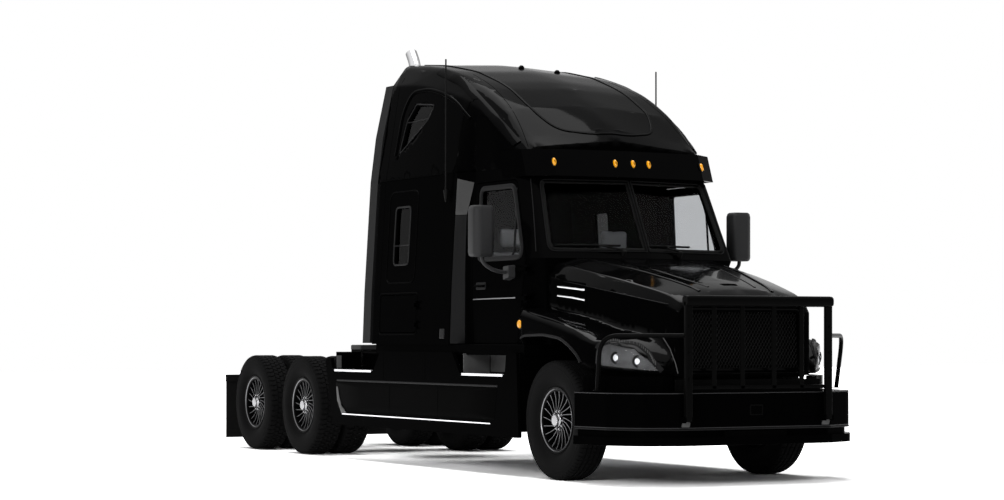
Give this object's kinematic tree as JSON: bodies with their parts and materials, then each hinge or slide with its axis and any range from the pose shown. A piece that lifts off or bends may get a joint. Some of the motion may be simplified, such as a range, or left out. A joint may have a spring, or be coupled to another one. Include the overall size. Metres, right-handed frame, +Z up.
{
  "type": "semi truck tractor unit",
  "caption": "Conventional semi truck tractor unit with raised-roof sleeper, grille guard, steerable front wheels, twin drive wheels and fifth wheel.",
  "frame": {"origin": "on the ground, below the middle of the truck's length and width", "axes": "+X towards the front bumper, +Y to the driver's left, +Z up"},
  "size_m": [9.115, 3, 4.2093],
  "materials": {
    "black_paint": "gloss",
    "guard_black": "satin",
    "frame_black": "matte",
    "cast_black": "matte",
    "cast_grey": "matte",
    "radiator_alloy": "matte",
    "polished_alloy": "polished",
    "rim_alloy": "polished",
    "tread_alloy": "brushed",
    "chrome": "polished",
    "grille_steel": "satin",
    "greased_steel": "satin",
    "tyre_rubber": "matte",
    "rubber_black": "matte",
    "dark_plastic": "matte",
    "tinted_glass": "gloss",
    "lamp_lens": "gloss",
    "amber_lens": "gloss",
    "red_lens": "gloss",
    "seat_cloth": "matte"
  },
  "bodies": {
    "chassis": {"chassis_frame": "frame_black", "front_axle": "frame_black", "drive_axles": "cast_black", "rear_suspension": "rubber_black", "engine_and_gearbox": "cast_grey", "radiator": "radiator_alloy", "fuel_tanks": "polished_alloy", "cab_shell": "black_paint", "roof_fairing": "black_paint", "sun_visor": "black_paint", "cab_glass": "tinted_glass", "marker_lamps": "amber_lens", "bumper": "black_paint", "side_fairings": "black_paint", "side_extenders": "dark_plastic", "exhaust_stack": "chrome", "fifth_wheel_base": "frame_black", "deck_plate": "tread_alloy", "mud_flaps": "rubber_black", "tail_lamps": "red_lens", "antennas": "dark_plastic", "seats": "seat_cloth", "dashboard": "dark_plastic", "bunk": "seat_cloth"},
    "hood": {"hood": "black_paint", "headlamps": "lamp_lens", "grille": "grille_steel"},
    "guard": {"grille_guard": "guard_black"},
    "door_right": {"door_right": "black_paint", "door_glass_right": "tinted_glass", "mirror_right": "dark_plastic"},
    "baggage_door_right": {"baggage_door_right": "black_paint"},
    "knuckle_right": {"knuckle_right": "cast_black"},
    "front_wheel_right": {"front_rim_right": "rim_alloy", "front_tyre_right": "tyre_rubber"},
    "first_drive_wheels_right": {"first_drive_rims_right": "rim_alloy", "first_drive_tyres_right": "tyre_rubber"},
    "second_drive_wheels_right": {"second_drive_rims_right": "rim_alloy", "second_drive_tyres_right": "tyre_rubber"},
    "door_left": {"door_left": "black_paint", "door_glass_left": "tinted_glass", "mirror_left": "dark_plastic"},
    "baggage_door_left": {"baggage_door_left": "black_paint"},
    "knuckle_left": {"knuckle_left": "cast_black"},
    "front_wheel_left": {"front_rim_left": "rim_alloy", "front_tyre_left": "tyre_rubber"},
    "first_drive_wheels_left": {"first_drive_rims_left": "rim_alloy", "first_drive_tyres_left": "tyre_rubber"},
    "second_drive_wheels_left": {"second_drive_rims_left": "rim_alloy", "second_drive_tyres_left": "tyre_rubber"},
    "tie_rod": {"tie_rod": "frame_black"},
    "steering_wheel": {"steering_wheel": "dark_plastic"},
    "fifth_wheel_plate": {"fifth_wheel_plate": "greased_steel"}
  },
  "joints": [
    {"name": "hood_tilt", "type": "hinge", "parent": "chassis", "child": "hood", "pos_m": [4.27, 0, 0.9], "axis": [0, 1, 0], "range_deg": [0, 60]},
    {"name": "guard_fold", "type": "hinge", "parent": "chassis", "child": "guard", "pos_m": [4.51, 0, 0.56], "axis": [0, 1, 0], "range_deg": [0, 90]},
    {"name": "steer_right", "type": "hinge", "parent": "chassis", "child": "knuckle_right", "pos_m": [3.07, -0.9, 0.524], "axis": [0, 0, 1], "range_deg": [-40, 40]},
    {"name": "front_wheel_right_spin", "type": "hinge", "parent": "knuckle_right", "child": "front_wheel_right", "pos_m": [3.07, -1.044, 0.524], "axis": [0, 1, 0], "continuous": true},
    {"name": "first_drive_right_spin", "type": "hinge", "parent": "chassis", "child": "first_drive_wheels_right", "pos_m": [-2.346, -0.903, 0.524], "axis": [0, 1, 0], "continuous": true},
    {"name": "second_drive_right_spin", "type": "hinge", "parent": "chassis", "child": "second_drive_wheels_right", "pos_m": [-3.667, -0.903, 0.524], "axis": [0, 1, 0], "continuous": true},
    {"name": "door_right_open", "type": "hinge", "parent": "chassis", "child": "door_right", "pos_m": [2.415, -1.101, 1.73], "axis": [0, 0, 1], "range_deg": [0, 65]},
    {"name": "baggage_door_right_open", "type": "hinge", "parent": "chassis", "child": "baggage_door_right", "pos_m": [0.436, -1.23, 1.465], "axis": [0, 0, 1], "range_deg": [0, 80]},
    {"name": "steer_left", "type": "hinge", "parent": "chassis", "child": "knuckle_left", "pos_m": [3.07, 0.9, 0.524], "axis": [0, 0, 1], "range_deg": [-40, 40]},
    {"name": "front_wheel_left_spin", "type": "hinge", "parent": "knuckle_left", "child": "front_wheel_left", "pos_m": [3.07, 1.044, 0.524], "axis": [0, 1, 0], "continuous": true},
    {"name": "first_drive_left_spin", "type": "hinge", "parent": "chassis", "child": "first_drive_wheels_left", "pos_m": [-2.346, 0.903, 0.524], "axis": [0, 1, 0], "continuous": true},
    {"name": "second_drive_left_spin", "type": "hinge", "parent": "chassis", "child": "second_drive_wheels_left", "pos_m": [-3.667, 0.903, 0.524], "axis": [0, 1, 0], "continuous": true},
    {"name": "door_left_open", "type": "hinge", "parent": "chassis", "child": "door_left", "pos_m": [2.415, 1.101, 1.73], "axis": [0, 0, -1], "range_deg": [0, 65]},
    {"name": "baggage_door_left_open", "type": "hinge", "parent": "chassis", "child": "baggage_door_left", "pos_m": [0.436, 1.23, 1.465], "axis": [0, 0, -1], "range_deg": [0, 80]},
    {"name": "tie_rod_swing", "type": "hinge", "parent": "knuckle_right", "child": "tie_rod", "pos_m": [2.855, -0.9, 0.345], "axis": [0, 0, 1], "range_deg": [-40, 40]},
    {"name": "steering_wheel_turn", "type": "hinge", "parent": "chassis", "child": "steering_wheel", "pos_m": [2.06, 0.56, 1.93], "axis": [-0.6157, 0, 0.788], "range_deg": [-720, 720]},
    {"name": "fifth_wheel_tilt", "type": "hinge", "parent": "chassis", "child": "fifth_wheel_plate", "pos_m": [-2.58, 0, 1.07], "axis": [0, 1, 0], "range_deg": [-8, 8]}
  ],
  "couplings": [
    {"joint": "steer_left", "follows": "steer_right", "ratio": 1},
    {"joint": "tie_rod_swing", "follows": "steer_right", "ratio": -1},
    {"joint": "steering_wheel_turn", "follows": "steer_right", "ratio": 18},
    {"joint": "guard_fold", "follows": "hood_tilt", "ratio": 1.5}
  ]
}
